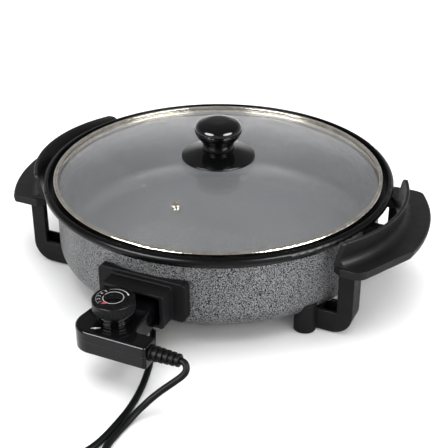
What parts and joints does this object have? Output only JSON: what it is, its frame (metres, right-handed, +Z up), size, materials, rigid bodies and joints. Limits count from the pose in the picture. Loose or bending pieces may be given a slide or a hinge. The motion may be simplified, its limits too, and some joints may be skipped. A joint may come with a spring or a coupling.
{
  "type": "electric pizza maker",
  "caption": "Round countertop electric pizza pan with a lift-off glass lid, side handles on legs and a plug-in thermostat with a dial and a mains cord.",
  "frame": {"origin": "on the pan's vertical axis, in the plane of the table that the feet stand on", "axes": "+Z is up, -Y points to the thermostat socket, and the handles lie along +X and -X"},
  "size_m": [0.491, 0.8216, 0.1779],
  "materials": {
    "hammered_enamel": "hammered grey enamel with a gloss black rim",
    "sheath_steel": "plain drawn steel",
    "contact_brass": "plain",
    "satin_black_plastic": "satin",
    "screw_steel": "zinc plated",
    "foot_rubber": "matte",
    "lid_glass": "clear tempered",
    "polished_steel": "polished",
    "gloss_black_plastic": "high gloss",
    "dial_plastic": "satin with printed marks",
    "lens_plastic": "clear polished",
    "lamp_glass": "tinted",
    "ceramic_white": "unglazed",
    "cord_rubber": "satin"
  },
  "bodies": {
    "root": {"pan": "hammered_enamel", "heating_element": "sheath_steel", "terminal_pins": "contact_brass", "thermostat_socket": "satin_black_plastic", "socket_screws": "screw_steel", "handle_right": "satin_black_plastic", "handle_left": "satin_black_plastic", "leg_front_right": "satin_black_plastic", "leg_back_right": "satin_black_plastic", "leg_front_left": "satin_black_plastic", "leg_back_left": "satin_black_plastic", "foot_front_left": "foot_rubber", "foot_front_right": "foot_rubber", "foot_back_left": "foot_rubber", "foot_back_right": "foot_rubber", "leg_screws": "screw_steel", "handle_screws": "screw_steel"},
    "lid": {"lid_glass": "lid_glass", "lid_band": "polished_steel", "vent_grommet": "polished_steel", "knob_plate": "gloss_black_plastic", "lid_knob": "gloss_black_plastic", "knob_washer": "screw_steel", "knob_spacer": "foot_rubber", "knob_screw": "screw_steel"},
    "thermostat": {"thermostat_cover_upper": "gloss_black_plastic", "thermostat_cover_lower": "gloss_black_plastic", "housing_screws": "screw_steel", "pilot_lens": "lens_plastic", "pilot_lamp": "lamp_glass", "plug_contacts": "contact_brass", "sensor_probe": "sheath_steel", "thermostat_frame": "sheath_steel", "frame_rivets": "screw_steel", "insulator_stack": "ceramic_white", "contact_blade": "contact_brass", "spindle_bush": "contact_brass", "strain_relief": "cord_rubber", "power_cord": "cord_rubber", "power_cord_far": "cord_rubber", "cord_coil": "cord_rubber", "cord_tie": "cord_rubber", "mains_plug": "cord_rubber", "mains_plug_pins": "polished_steel"},
    "dial": {"dial": "dial_plastic", "dial_spindle": "screw_steel"}
  },
  "joints": [
    {"name": "lid_lift", "type": "slide", "parent": "root", "child": "lid", "axis": [0, 0, 1], "range_m": [0, 0.12]},
    {"name": "thermostat_pull", "type": "slide", "parent": "root", "child": "thermostat", "axis": [0, -1, 0], "range_m": [0, 0.04]},
    {"name": "dial_turn", "type": "hinge", "parent": "thermostat", "child": "dial", "pos_m": [0, -0.2445, 0.07], "axis": [0, 0, -1], "range_deg": [0, 240]}
  ]
}
